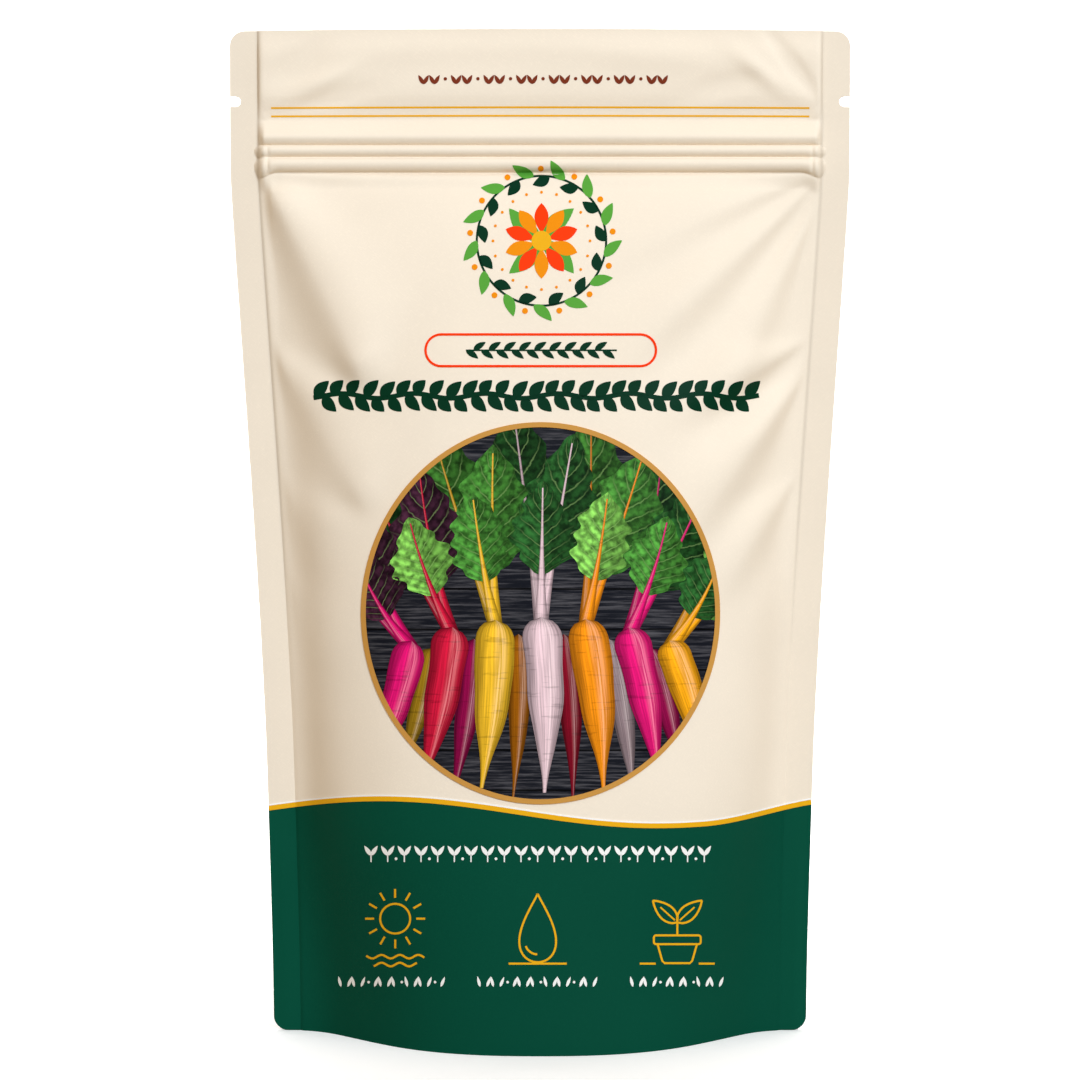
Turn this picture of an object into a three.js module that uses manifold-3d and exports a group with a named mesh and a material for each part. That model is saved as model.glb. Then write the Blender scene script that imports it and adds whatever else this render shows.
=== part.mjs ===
// A resealable stand-up pouch of printed matte film, filled with seed: two panels joined by heat seals
// along their sides and top, a folded gusset that spreads its foot, a two-track press-to-close zip across
// it, and the seed inside. Millimetres, +Z up. The side seals lie in the plane y = 0, the front panel is
// on the -Y side, and the pouch stands on the cut edges of its film at z = 0.
import * as THREE from "three";
import { mergeVertices } from "three/addons/utils/BufferGeometryUtils.js";
import Module from "manifold-3d";

const wasm = await Module();
wasm.setup();

// The flat pouch
const POUCH_WIDTH = 130;
const POUCH_HEIGHT = 212.3;
const SIDE_SEAL = 5.8;
const FILM = 0.5;
const CORNER_RADIUS = 3.1;
const NOTCH = { z: 197.4, depth: 2.3, height: 2.2 };
const TOP_ARCH = 0.5;

// The filled body
const BODY_TOP = 182;
const BASE_DEPTH = 25.4;
const BULGE = { power: 1.92, root: 0.58 };
const TOP_SEAL = 3;

// The gusset under the body
const GUSSET_FOLD = 35;
const GUSSET_ARCH = 16;
const SKIRT = 5;

// The zip and what lies in front of it
const ZIP_ROOM = 1.45;
const RIBS = [
  { z: 190.8, half: 2.2, height: 0.45 },
  { z: 186.8, half: 1.2, height: 0.75 },
  { z: 183.9, half: 1.5, height: 0.8 },
];
const ZIP_TRACKS = [183.9, 186.8];
const ZIP_TAPE = { low: 182.3, high: 192.6, thick: 0.35, reach: 56.2 };

// The seed
const SEED_LEVEL = 126;
const SEED_CLEARANCE = 1;

const GAP = 0.1;
const HALF_WIDTH = POUCH_WIDTH / 2;
const SEAM = HALF_WIDTH - SIDE_SEAL;

const clamp01 = (t) => Math.min(1, Math.max(0, t));

// 0 below a, 1 above b and smooth between them
function ease(a, b, t) {
  const k = clamp01((t - a) / (b - a));
  return k * k * (3 - 2 * k);
}

// Folds that run in from a side seal, where the film is drawn in as the body fills. Each is a cone of
// film: from a tip on the seam at height z, a ridge and a valley leave at their angles below the
// horizontal, deepest at reach from the tip. side is -1 for the left seam, seen from that panel's front.
const FRONT_FOLDS = [
  { side: -1, z: 181.5, reach: 27, height: 1.7, ridge: 38, valley: 68, spread: 15 },
  { side: -1, z: 145, reach: 19, height: 1.5, ridge: 27, valley: 58, spread: 13 },
  { side: -1, z: 118, reach: 24, height: 1.2, ridge: 34, valley: 67, spread: 14 },
  { side: 1, z: 181.5, reach: 27, height: 1.3, ridge: 50, valley: 27, spread: 13 },
  { side: 1, z: 139, reach: 20, height: 1.2, ridge: 26, valley: 52, spread: 13 },
  { side: 1, z: 118, reach: 19, height: 1.0, ridge: 22, valley: 46, spread: 12 },
];
const BACK_FOLDS = [
  { side: -1, z: 181.5, reach: 25, height: 1.4, ridge: 36, valley: 62, spread: 15 },
  { side: -1, z: 138, reach: 21, height: 1.3, ridge: 26, valley: 54, spread: 13 },
  { side: 1, z: 181.5, reach: 28, height: 1.6, ridge: 40, valley: 68, spread: 15 },
  { side: 1, z: 148, reach: 19, height: 1.2, ridge: 24, valley: 55, spread: 13 },
  { side: 1, z: 121, reach: 21, height: 1.1, ridge: 30, valley: 60, spread: 13 },
];

function foldDepth(folds, u, z) {
  let depth = 0;
  for (const fold of folds) {
    const inward = SEAM - fold.side * u;
    const down = fold.z - z;
    const r = Math.hypot(inward, down) / fold.reach;
    const angle = (Math.atan2(down, Math.max(inward, 0)) * 180) / Math.PI;
    const swell = Math.exp(-(((angle - fold.ridge) / fold.spread) ** 2));
    const dip = Math.exp(-(((angle - fold.valley) / fold.spread) ** 2));
    depth += fold.height * r * Math.exp(1 - r ** 1.5) * (swell - dip);
  }
  const inBody = ease(0, 6, SEAM - Math.abs(u)) * ease(BODY_TOP, BODY_TOP - 6, z) * ease(0, 40, z);
  return Math.max(depth * inBody, -0.7 * bulge(z) * crown(u, z));
}

// How far each panel stands from the seal plane in the filled body, by height
function bulge(z) {
  const k = clamp01(z / BODY_TOP);
  return BASE_DEPTH * (1 - k ** BULGE.power) ** BULGE.root;
}

// The body's crown across its width: 1 in the middle, 0 at the seams, with softer shoulders at the foot
function crown(u, z) {
  const s = clamp01(Math.abs(u) / SEAM);
  const high = ease(0, 71, z);
  return (1 - s ** (2.44 - 0.22 * high)) ** (1.71 - 0.52 * high);
}

// Half of the space between the two panels at a point of the flat film
function halfSpace(u, z) {
  const plies = (FILM + 0.2) * ease(SEAM - 10, SEAM - 2, Math.abs(u)) * ease(GUSSET_FOLD + 5, GUSSET_FOLD + 1, z);
  const pillow = ease(SEAM, SEAM - 2, Math.abs(u));
  const zip = ZIP_ROOM * pillow * ease(BODY_TOP - 3.4, BODY_TOP - 0.4, z) * ease(196.6, 193.2, z);
  const header = 0.3 * pillow * ease(191.6, 196.6, z) * ease(POUCH_HEIGHT - 1, POUCH_HEIGHT - 2 * TOP_SEAL, z);
  return GAP / 2 + plies + zip + header + bulge(z) * crown(u, z);
}

// The header above the zip bows forward as one, both plies together
function headerBow(u, z) {
  return 0.8 * ease(SEAM, SEAM - 3, Math.abs(u)) * ease(192, 198, z);
}

// A panel: its inner face lies inner() from the seal plane, and ribs stand on its outer face
const front = {
  side: -1,
  inner: (u, z) => halfSpace(u, z) + headerBow(u, z) + foldDepth(FRONT_FOLDS, u, z),
};
const back = {
  side: 1,
  inner: (u, z) => halfSpace(u, z) - headerBow(u, z) + foldDepth(BACK_FOLDS, -u, z),
};

function ribHeight(u, z) {
  const pillow = ease(SEAM + 0.8, SEAM - 1.6, Math.abs(u));
  let height = 0;
  for (const rib of RIBS) {
    const k = (z - rib.z) / rib.half;
    height = Math.max(height, rib.height * Math.sqrt(Math.max(0, 1 - k * k)));
  }
  return height * pillow;
}

// u is measured along the film, so x is the film's length across less what its slope takes up. The table
// holds x at every step of u for one height.
const STEP = 0.5;
const columnTables = new Map();

function acrossTable(z) {
  if (!columnTables.has(z)) {
    const table = [0];
    for (let u = 0; u < SEAM; u += STEP) {
      const rise = (bulge(z) * (crown(u + STEP, z) - crown(u, z))) / STEP;
      table.push(table.at(-1) + STEP * Math.sqrt(1 - rise * rise));
    }
    columnTables.set(z, table);
  }
  return columnTables.get(z);
}

function across(u, z) {
  const table = acrossTable(z);
  const reach = Math.min(Math.abs(u), SEAM);
  const i = Math.min(table.length - 2, Math.floor(reach / STEP));
  const inside = table[i] + ((table[i + 1] - table[i]) * (reach - i * STEP)) / STEP;
  return Math.sign(u) * (inside + Math.max(0, Math.abs(u) - SEAM));
}

// The top edge is a little higher in the middle than at its corners
const heightOf = (u, z) => z - TOP_ARCH * (u / HALF_WIDTH) ** 2 * ease(BODY_TOP, POUCH_HEIGHT, z);

function innerPoint(panel, u, z) {
  return new THREE.Vector3(across(u, z), panel.side * panel.inner(u, z), heightOf(u, z));
}

// The outer face is the inner one moved out by the film's thickness along its normal, with the ribs
function outerPoint(panel, u, z) {
  const d = 0.4;
  const alongU = innerPoint(panel, u + d, z).sub(innerPoint(panel, u - d, z));
  const low = Math.max(0, z - d);
  const high = Math.min(POUCH_HEIGHT, z + d);
  const alongZ = innerPoint(panel, u, high).sub(innerPoint(panel, u, low));
  const normal = alongU.cross(alongZ).normalize();
  if (normal.y * panel.side < 0) normal.negate();
  if (Math.abs(u) > SEAM - 0.1) normal.set(0, panel.side, 0);
  if (z === 0 || z === POUCH_HEIGHT) normal.setZ(0).normalize();
  const out = innerPoint(panel, u, z).addScaledVector(normal, FILM);
  out.y += panel.side * ribHeight(u, z);
  return out;
}

// A closed sheet between two grids of points of the same size, outer[i][j] and inner[i][j]
function sheetBetween(outer, inner) {
  const rows = outer.length;
  const columns = outer[0].length;
  const points = [...outer.flat(), ...inner.flat()];
  const at = (layer, i, j) => layer * rows * columns + i * columns + j;
  const faces = [];
  const quad = (a, b, c, d) => faces.push(a, b, c, a, c, d);
  for (let i = 0; i < rows - 1; i++)
    for (let j = 0; j < columns - 1; j++) {
      quad(at(0, i, j), at(0, i, j + 1), at(0, i + 1, j + 1), at(0, i + 1, j));
      quad(at(1, i, j), at(1, i + 1, j), at(1, i + 1, j + 1), at(1, i, j + 1));
    }
  const rim = (i, j, k, l) => quad(at(0, i, j), at(1, i, j), at(1, k, l), at(0, k, l));
  for (let j = 0; j < columns - 1; j++) {
    rim(0, j, 0, j + 1);
    rim(rows - 1, j + 1, rows - 1, j);
  }
  for (let i = 0; i < rows - 1; i++) {
    rim(i + 1, 0, i, 0);
    rim(i, columns - 1, i + 1, columns - 1);
  }
  return solidFrom(points, faces);
}

// A loft through closed loops of points of the same number, with flat ends
function loftThrough(loops) {
  const count = loops[0].length;
  const points = loops.flat();
  const faces = [];
  for (let i = 0; i < loops.length - 1; i++)
    for (let j = 0; j < count; j++) {
      const k = (j + 1) % count;
      const a = i * count + j;
      const b = i * count + k;
      faces.push(a, b, b + count, a, b + count, a + count);
    }
  const last = (loops.length - 1) * count;
  for (const start of [0, last]) {
    const flat = loops[start / count].map((p) => new THREE.Vector2(p.y, p.z));
    const turn = Math.sign(THREE.ShapeUtils.area(flat)) * (start === 0 ? -1 : 1);
    for (const [a, b, c] of THREE.ShapeUtils.triangulateShape(flat, [])) {
      const flip = THREE.ShapeUtils.area([flat[a], flat[b], flat[c]]) * turn < 0;
      faces.push(start + a, start + (flip ? c : b), start + (flip ? b : c));
    }
  }
  return solidFrom(points, faces);
}

function solidFrom(points, faces) {
  const vertProperties = new Float32Array(points.flatMap((p) => [p.x, p.y, p.z]));
  const made = new wasm.Manifold(
    new wasm.Mesh({ numProp: 3, vertProperties, triVerts: new Uint32Array(faces) }),
  );
  if (made.volume() > 0) return made;
  for (let i = 0; i < faces.length; i += 3) [faces[i + 1], faces[i + 2]] = [faces[i + 2], faces[i + 1]];
  return new wasm.Manifold(
    new wasm.Mesh({ numProp: 3, vertProperties, triVerts: new Uint32Array(faces) }),
  );
}

function solidOf(geometry) {
  const bare = geometry.clone();
  bare.deleteAttribute("normal");
  bare.deleteAttribute("uv");
  const merged = mergeVertices(bare, 1e-4);
  return new wasm.Manifold(
    new wasm.Mesh({
      numProp: 3,
      vertProperties: merged.attributes.position.array,
      triVerts: new Uint32Array(merged.index.array),
    }),
  );
}

function geometryOf(solid) {
  const mesh = solid.getMesh();
  const geometry = new THREE.BufferGeometry();
  geometry.setAttribute("position", new THREE.BufferAttribute(mesh.vertProperties, 3));
  geometry.setIndex(new THREE.BufferAttribute(mesh.triVerts, 1));
  geometry.computeVertexNormals();
  return geometry;
}

// A cutter is an outline in the XZ plane, run through both panels
function cutter(outline) {
  const depth = 12;
  const geometry = new THREE.ExtrudeGeometry(outline, { depth, bevelEnabled: false, curveSegments: 6 });
  return solidOf(geometry.translate(0, 0, -depth / 2).rotateX(Math.PI / 2));
}

// What lies outside a rounded corner of the pouch. sideX is the edge's x there.
function cornerCutter(sideX, cornerZ) {
  const sx = Math.sign(sideX);
  const sz = cornerZ > 0 ? 1 : -1;
  const r = CORNER_RADIUS;
  const [cx, cz] = [sideX - sx * r, cornerZ - sz * r];
  const outline = new THREE.Shape();
  outline.moveTo(cx, cz + sz * r);
  for (let i = 1; i <= 6; i++) {
    const turn = (i / 6) * (Math.PI / 2);
    outline.lineTo(cx + sx * r * Math.sin(turn), cz + sz * r * Math.cos(turn));
  }
  outline.lineTo(sideX + sx * 2, cz);
  outline.lineTo(sideX + sx * 2, cornerZ + sz * 2);
  outline.lineTo(cx, cornerZ + sz * 2);
  return cutter(outline);
}

// A tear notch: a slot with a round end, open at the pouch's edge
function notchCutter(sx) {
  const r = NOTCH.height / 2;
  const outline = new THREE.Shape();
  outline.moveTo(sx * (HALF_WIDTH + 2), NOTCH.z - r);
  for (let i = 0; i <= 6; i++) {
    const turn = -Math.PI / 2 + (i / 6) * Math.PI;
    const reach = HALF_WIDTH - NOTCH.depth + r - r * Math.cos(turn);
    outline.lineTo(sx * reach, NOTCH.z + r * Math.sin(turn));
  }
  outline.lineTo(sx * (HALF_WIDTH + 2), NOTCH.z + r);
  return cutter(outline);
}

const footEdge = across(HALF_WIDTH, 0);
const topCorner = POUCH_HEIGHT - TOP_ARCH;
const footCutters = [cornerCutter(-footEdge, 0), cornerCutter(footEdge, 0)];
const topCutters = [cornerCutter(-HALF_WIDTH, topCorner), cornerCutter(HALF_WIDTH, topCorner)];
const notchCutters = [notchCutter(-1), notchCutter(1)];

const cutAway = (solid, cutters) => cutters.reduce((left, tool) => left.subtract(tool), solid);

// Stations across the film and up it, closer where it curves more
const HALF_STATIONS = [0, 8, 16, 24, 31, 37, 42.5, 47.5, 52, 55.5, 57.4, SEAM, HALF_WIDTH];
const ACROSS = [...HALF_STATIONS.slice(1).map((u) => -u).reverse(), ...HALF_STATIONS];
const BODY_ROWS = [0, 8, 17, 26, 35, 41, 50, 60, 70, 80, 90, 99, 107, 115, 123, 130, 137, 143, 149, 155, 161];
const NECK_ROWS = [167, 172, 176, 178.6, 180.6, 182.3];
const RIB_ROWS = [182.9, 183.9, 184.9, 185.5, 186.1, 186.8, 187.5, 188.1, 188.9, 190.8, 192.6, 193.4];
const HEADER_ROWS = [196.5, 201.5, 206.5, 209.3, POUCH_HEIGHT];
const UPWARD = [...BODY_ROWS, ...NECK_ROWS, ...RIB_ROWS, ...HEADER_ROWS];

function panelSolid(panel) {
  const grid = (point) => UPWARD.map((z) => ACROSS.map((u) => point(panel, u, z)));
  const sheet = sheetBetween(grid(outerPoint), grid(innerPoint));
  return cutAway(sheet, [...footCutters, ...topCutters, ...notchCutters]);
}

// The gusset's fold is opened into an arch in the middle and stays shut, at its full height, in the seals
const ridgeHeight = (u) =>
  GUSSET_ARCH + (GUSSET_FOLD - GUSSET_ARCH) * clamp01(Math.abs(u) / SEAM) ** 2.2;

// One cross-section of the gusset, from the front rim over the ridge to the back rim. inset is 0 for its
// upper face and the film's thickness for the lower one.
function gussetCurve(u, inset) {
  const reach = Math.min(front.inner(u, 0), back.inner(u, 0)) - GAP - inset;
  const ridge = ridgeHeight(u) - inset;
  const up = [[reach, 0], [reach, SKIRT]];
  for (let i = 1; i <= 6; i++) {
    const turn = (i / 6) * (Math.PI / 2);
    up.push([reach * Math.cos(turn), SKIRT + (ridge - SKIRT) * Math.sin(turn)]);
  }
  const half = (side) => up.map(([y, z]) => new THREE.Vector3(across(u, z), side * y, z));
  return [...half(-1), ...half(1).reverse().slice(1)];
}

function gussetSolid() {
  const grid = (inset) => ACROSS.map((u) => gussetCurve(u, inset));
  return cutAway(sheetBetween(grid(0), grid(FILM)), footCutters);
}

// One half of the zip: a tape with a rib or a groove on each track, run across the pouch
function zipSolid(side, trackOutline) {
  const { low, high, thick, reach } = ZIP_TAPE;
  const outerY = side * (ZIP_ROOM - 0.05);
  const innerY = outerY - side * thick;
  const outline = new THREE.Shape();
  outline.moveTo(outerY, low);
  outline.lineTo(outerY, high);
  outline.lineTo(innerY, high);
  for (const z of [...ZIP_TRACKS].reverse())
    for (const [y, dz] of trackOutline(innerY)) outline.lineTo(y, z + dz);
  outline.lineTo(innerY, low);
  const depth = 2 * reach;
  const geometry = new THREE.ExtrudeGeometry(outline, { depth, bevelEnabled: false });
  // The outline's own x and y become Y and Z, and its depth runs along X
  geometry.applyMatrix4(
    new THREE.Matrix4().makeBasis(
      new THREE.Vector3(0, 1, 0),
      new THREE.Vector3(0, 0, 1),
      new THREE.Vector3(1, 0, 0),
    ),
  );
  return solidOf(geometry.translate(-reach, 0, 0));
}

// The rib has a stem and an arrow head, and the groove two arms with lips behind that head
const ribOutline = (root) => [
  [root, 0.22], [-0.1, 0.22], [-0.1, 0.58], [0.5, 0.2], [0.5, -0.2], [-0.1, -0.58], [-0.1, -0.22], [root, -0.22],
];
const grooveOutline = (root) => [
  [root, 1.1], [-0.5, 1.1], [-0.5, 0.38], [-0.25, 0.38], [-0.25, 0.74], [root, 0.74],
  [root, -0.74], [-0.25, -0.74], [-0.25, -0.38], [-0.5, -0.38], [-0.5, -1.1], [root, -1.1],
];

// The seed: a settled heap that fills the body up to its level and lies on the gusset's arch. Its
// surface is rough with the seeds, by a fixed rule that moves each point in by up to seedRough.
const seedRough = 0.9;
const roughness = (i, j) => seedRough * Math.abs(Math.sin(12.9898 * i + 78.233 * j));

function seedLoop(u, station) {
  const space = Math.min(front.inner(u, SKIRT), back.inner(u, SKIRT)) - GAP;
  const ridge = ridgeHeight(u);
  const start = Math.acos(clamp01(1 - (2.6 + SEED_CLEARANCE) / space));
  const foot = SKIRT + (ridge - SKIRT) * Math.sin(start) + 2 * SEED_CLEARANCE;
  const top = SEED_LEVEL - 5 * (u / SEAM) ** 2;
  const loop = [];
  const levels = 14;
  for (const panel of [front, back])
    for (let k = 0; k <= levels; k++) {
      const share = panel === front ? k / levels : 1 - k / levels;
      const z = foot + (top - foot) * share;
      const rough = roughness(station, k + panel.side);
      const y = Math.max(0.5 + 0.5 * rough, panel.inner(u, z) - SEED_CLEARANCE - rough);
      loop.push(new THREE.Vector3(across(u, z), panel.side * y, z));
    }
  for (let k = 0; k <= 6; k++) {
    const turn = start + (Math.PI - 2 * start) * (k / 6);
    const z = SKIRT + (ridge - SKIRT) * Math.sin(turn) + SEED_CLEARANCE;
    loop.push(new THREE.Vector3(across(u, z), space * Math.cos(turn), z));
  }
  return loop;
}

function seedSolid() {
  const stations = 20;
  const reach = SEAM - 10;
  const loops = [];
  for (let i = 0; i <= stations; i++) loops.push(seedLoop(-reach + (2 * reach * i) / stations, i));
  return loftThrough(loops);
}

const creamFilm = new THREE.MeshStandardMaterial({ color: 0xf2e6d2, roughness: 0.55, metalness: 0 });
const greenFilm = new THREE.MeshStandardMaterial({ color: 0x094636, roughness: 0.5, metalness: 0 });
const zipPlastic = new THREE.MeshStandardMaterial({ color: 0xe9ebe8, roughness: 0.35, metalness: 0 });
const seedCoat = new THREE.MeshStandardMaterial({ color: 0x9c7a4c, roughness: 0.9, metalness: 0 });

function named(name, solid, material) {
  const mesh = new THREE.Mesh(geometryOf(solid), material);
  mesh.name = name;
  return mesh;
}

const pouch = new THREE.Group();
pouch.add(
  named("front_panel", panelSolid(front), creamFilm),
  named("back_panel", panelSolid(back), creamFilm),
  named("bottom_gusset", gussetSolid(), greenFilm),
  named("zip_rib_strip", zipSolid(-1, ribOutline), zipPlastic),
  named("zip_groove_strip", zipSolid(1, grooveOutline), zipPlastic),
  named("seed_fill", seedSolid(), seedCoat),
);

export default pouch;
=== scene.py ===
import math
import bpy
import numpy as np
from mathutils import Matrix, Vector


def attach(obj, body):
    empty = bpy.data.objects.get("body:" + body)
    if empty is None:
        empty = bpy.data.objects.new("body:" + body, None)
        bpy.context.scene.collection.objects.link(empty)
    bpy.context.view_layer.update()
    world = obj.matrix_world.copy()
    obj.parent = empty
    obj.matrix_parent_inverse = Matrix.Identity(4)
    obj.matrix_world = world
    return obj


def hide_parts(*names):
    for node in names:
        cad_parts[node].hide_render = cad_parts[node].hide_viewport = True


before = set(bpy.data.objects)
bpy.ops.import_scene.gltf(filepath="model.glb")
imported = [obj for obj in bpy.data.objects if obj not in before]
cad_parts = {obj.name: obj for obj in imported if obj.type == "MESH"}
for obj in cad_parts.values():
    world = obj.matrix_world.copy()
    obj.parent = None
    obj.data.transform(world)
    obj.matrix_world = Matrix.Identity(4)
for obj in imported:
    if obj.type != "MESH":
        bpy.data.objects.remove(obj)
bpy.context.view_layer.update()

mm = 0.001
uvUnit = 200.0  # millimetres of the print plane along one unit of a UV map

# film shape
print("film shape")

pouch = {
    "halfWidth": 65.0, "height": 212.3, "sideSeal": 5.8, "bodyTop": 182.0,
    "baseDepth": 25.4, "bulgePower": 1.92, "bulgeRoot": 0.58,
    "film": 0.22, "topArch": 0.5, "cornerRadius": 3.1,
    "notchHeight": 197.4, "notchDepth": 2.3, "notchWidth": 2.2,
    "gussetFold": 35.0, "gussetArch": 16.0, "gussetSkirt": 5.0,
}
seam = pouch["halfWidth"] - pouch["sideSeal"]

# the print is laid out on the plane y = 0 as it looks from this eye, and thrown from there onto the film
eye = {"distance": 748.0, "height": 160.45}


def joined(*parts):
    # one array that holds the parts side by side along its last axis
    return np.stack(parts, axis=-1)


def ease(a, b, t):
    # 0 at a, 1 at b, a smooth cubic between them
    k = np.clip((t - a) / (b - a), 0, 1)
    return k * k * (3 - 2 * k)


def bulge(z):
    # depth of the filled body at mid-width: the base depth times (1 - k^power)^root, with k the share of the
    # way up to the zip
    k = np.clip(z / pouch["bodyTop"], 0, 1)
    return pouch["baseDepth"] * (1 - k ** pouch["bulgePower"]) ** pouch["bulgeRoot"]


def crown(u, z):
    # share of that depth at u: (1 - s^a)^b, with s the share of the way to the seam. a and b fall a little
    # from the foot upwards.
    s = np.clip(np.abs(u) / seam, 0, 1)
    high = ease(0, 71, z)
    return (1 - s ** (2.44 - 0.22 * high)) ** (1.71 - 0.52 * high)


# the seed also presses the film out between middle and seams, above the foot
boxy = {"share": 0.55, "power": 3.7, "root": 1.26, "foot": (8, 55)}


def fuller(u):
    # share of the depth at u where the seed presses: (1 - s^power)^root, so flatter in the middle
    s = np.clip(np.abs(u) / seam, 0, 1)
    return np.maximum(0, 1 - s ** boxy["power"]) ** boxy["root"]


# u runs along the film, so x is what is left of it once the film's slope is taken off: a running sum of
# sqrt(1 - slope^2) along u, kept as a table by height
uLine = np.linspace(0, seam, 297)
zLine = np.linspace(0, pouch["bodyTop"], 183)
bodyTable = bulge(zLine)[:, None] * crown(uLine[None, :], zLine[:, None])
slopeTable = np.diff(bodyTable, axis=1) / uLine[1]
acrossTable = np.zeros_like(bodyTable)
acrossTable[:, 1:] = np.cumsum(np.sqrt(np.maximum(0.04, 1 - slopeTable ** 2)) * uLine[1], axis=1)


def across(u, z):
    # x of the film at u and z, read between the table's four nearest entries
    a = np.minimum(np.abs(u), seam) / uLine[1]
    b = np.clip(z, 0, pouch["bodyTop"]) / zLine[1]
    i = np.minimum(a.astype(int), len(uLine) - 2)
    j = np.minimum(b.astype(int), len(zLine) - 2)
    a, b, t = a - i, b - j, acrossTable
    lower = t[j, i] * (1 - a) + t[j, i + 1] * a
    upper = t[j + 1, i] * (1 - a) + t[j + 1, i + 1] * a
    inside = lower * (1 - b) + upper * b
    return np.sign(u) * (inside + np.maximum(0, np.abs(u) - seam))


# folds of the film, each along a bowed line on the print plane from the seam inwards. The crest stands out by
# rise and its lower flank falls to a trough of depth dip; width is that flank's half-width at both ends, and
# the fold dies away from the share fade of its length. One that holds its height longer than foldHeld swells
# in sooner and is pinched at its tip.
foldHeld = 0.8
foldKeys = ("start", "end", "width", "rise", "dip", "bow", "fade")
frontFolds = [dict(zip(foldKeys, row)) for row in (
    ((-58.9, 182.2), (-39.6, 140.0), (2.6, 5.4), 3.1, 0.7, 0.9, 0.93),
    ((-57.2, 146.6), (-38.6, 113.0), (1.4, 4.4), 1.2, 0.4, 1.0, 0.92),
    ((-55.8, 120.4), (-46.5, 96.0), (1.1, 4.0), 0.7, 0.3, 0.5, 0.5),
    ((-54.8, 101.0), (-47.0, 76.0), (0.8, 3.0), 0.25, 0.1, 0.5, 0.6),
    ((59.2, 182.6), (8.0, 158.0), (0.9, 4.4), 1.5, 1.3, 0.0, 0.35),
    ((58.9, 181.4), (16.0, 138.0), (0.9, 4.4), 2.2, 1.6, 1.0, 0.45),
    ((58.6, 176.0), (41.0, 134.0), (0.8, 3.4), 1.5, 1.1, 0.0, 0.5),
    ((57.0, 147.4), (29.0, 128.0), (0.8, 3.4), 1.9, 1.7, 0.0, 0.4),
    ((56.6, 141.4), (31.0, 102.0), (0.9, 4.0), 2.6, 1.8, 0.8, 0.55),
    ((55.4, 120.0), (39.0, 91.0), (0.8, 3.2), 1.6, 1.2, 0.0, 0.5),
)]
backFolds = [dict(zip(foldKeys, row)) for row in (
    ((-58.8, 182.2), (-34.0, 144.0), (1.2, 5.0), 1.5, 0.7, 1.0, 0.7),
    ((-57.0, 143.0), (-40.0, 110.0), (1.0, 4.6), 1.2, 0.6, 1.0, 0.8),
    ((-55.4, 114.0), (-45.0, 88.0), (0.9, 3.6), 0.8, 0.5, 0.6, 0.6),
    ((58.8, 182.2), (37.0, 139.0), (1.3, 5.2), 1.5, 0.7, 1.4, 0.85),
    ((57.4, 151.0), (39.0, 120.0), (1.0, 4.8), 1.2, 0.7, 0.8, 0.7),
    ((55.8, 123.0), (43.0, 94.0), (0.9, 4.0), 0.9, 0.5, 0.6, 0.6),
)]


def foldRelief(folds, p, q):
    # s runs along the fold and k across it, in flank widths, positive below. The crest at k = -0.6 falls off
    # slowly above and fast below, where a shallow trough at k = 1 follows. All of it swells in over s and
    # ends past 1.
    total = np.zeros_like(p)
    for fold in folds:
        (p0, q0), (p1, q1) = fold["start"], fold["end"]
        length = math.hypot(p1 - p0, q1 - q0)
        dp, dq = (p1 - p0) / length, (q1 - q0) / length
        s = ((p - p0) * dp + (q - q0) * dq) / length
        below = 1 if dp > 0 else -1
        off = below * ((p - p0) * dq - (q - q0) * dp) - fold["bow"] * 4 * s * (1 - s)
        w0, w1 = fold["width"]
        held = fold["fade"] > foldHeld
        k = off / ((w0 + (w1 - w0) * ease(0, 0.6, s)) * (1 - 0.45 * held * ease(0.75, 1.05, s)))
        swell = ease(-0.05, 0.2 if held else 0.45, s) * ease(1.14, fold["fade"], s)
        crest = np.where(k < -0.6, np.exp(-((k + 0.6) / 1.9) ** 2), np.exp(-((k + 0.6) / 1.1) ** 2))
        total += swell * (fold["rise"] * crest - fold["dip"] * np.exp(-((k - 1.0) / 1.4) ** 2))
    return total


# round dents and swellings: middle, half-size along and across, turn in degrees, height
dentKeys = ("at", "size", "turn", "height")
frontDents = [dict(zip(dentKeys, row)) for row in (
    ((-50.5, 205.4), (5.5, 2.4), 32, -1.3),
    ((-45.0, 201.8), (7.0, 1.7), 26, 0.75),
    ((-42.0, 198.4), (7.0, 1.8), 14, -0.8),
    ((53.0, 205.0), (6.5, 1.5), -52, -1.4),
    ((46.5, 203.4), (6.5, 1.9), -38, 0.9),
    ((38.0, 200.4), (7.5, 2.2), 16, -0.8),
    ((57.6, 193.8), (3.4, 0.9), 48, 0.8),
    ((-57.8, 193.4), (2.2, 0.7), -48, 0.8),
    ((-20.0, 205.0), (22.0, 3.2), 3, -0.35),
    ((22.0, 207.0), (18.0, 3.0), -5, 0.35),
)]
backDents = [dict(zip(dentKeys, row)) for row in (
    ((46.0, 202.0), (8.0, 3.0), 30, -0.25),
    ((-50.0, 204.0), (6.0, 1.6), -38, -0.3),
    ((5.0, 203.0), (20.0, 4.0), 3, 0.14),
)]


def dentRelief(dents, p, q):
    # a bell-shaped bump for each, with its long axis turned
    total = np.zeros_like(p)
    for dent in dents:
        turn = math.radians(dent["turn"])
        a = (p - dent["at"][0]) * math.cos(turn) + (q - dent["at"][1]) * math.sin(turn)
        b = (q - dent["at"][1]) * math.cos(turn) - (p - dent["at"][0]) * math.sin(turn)
        total += dent["height"] * np.exp(-(a / dent["size"][0]) ** 2 - (b / dent["size"][1]) ** 2)
    return total


# the film lies flatter beside each side seam, rises steeply from there and turns over a shoulder
sideFlat = {"at": 54.8, "half": 3.8, "dip": 0.42, "foot": (38, 62), "top": (150, 118)}
shoulder = {"at": 47.2, "half": 7.0, "rise": 0.55, "top": (165, 110)}

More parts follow.
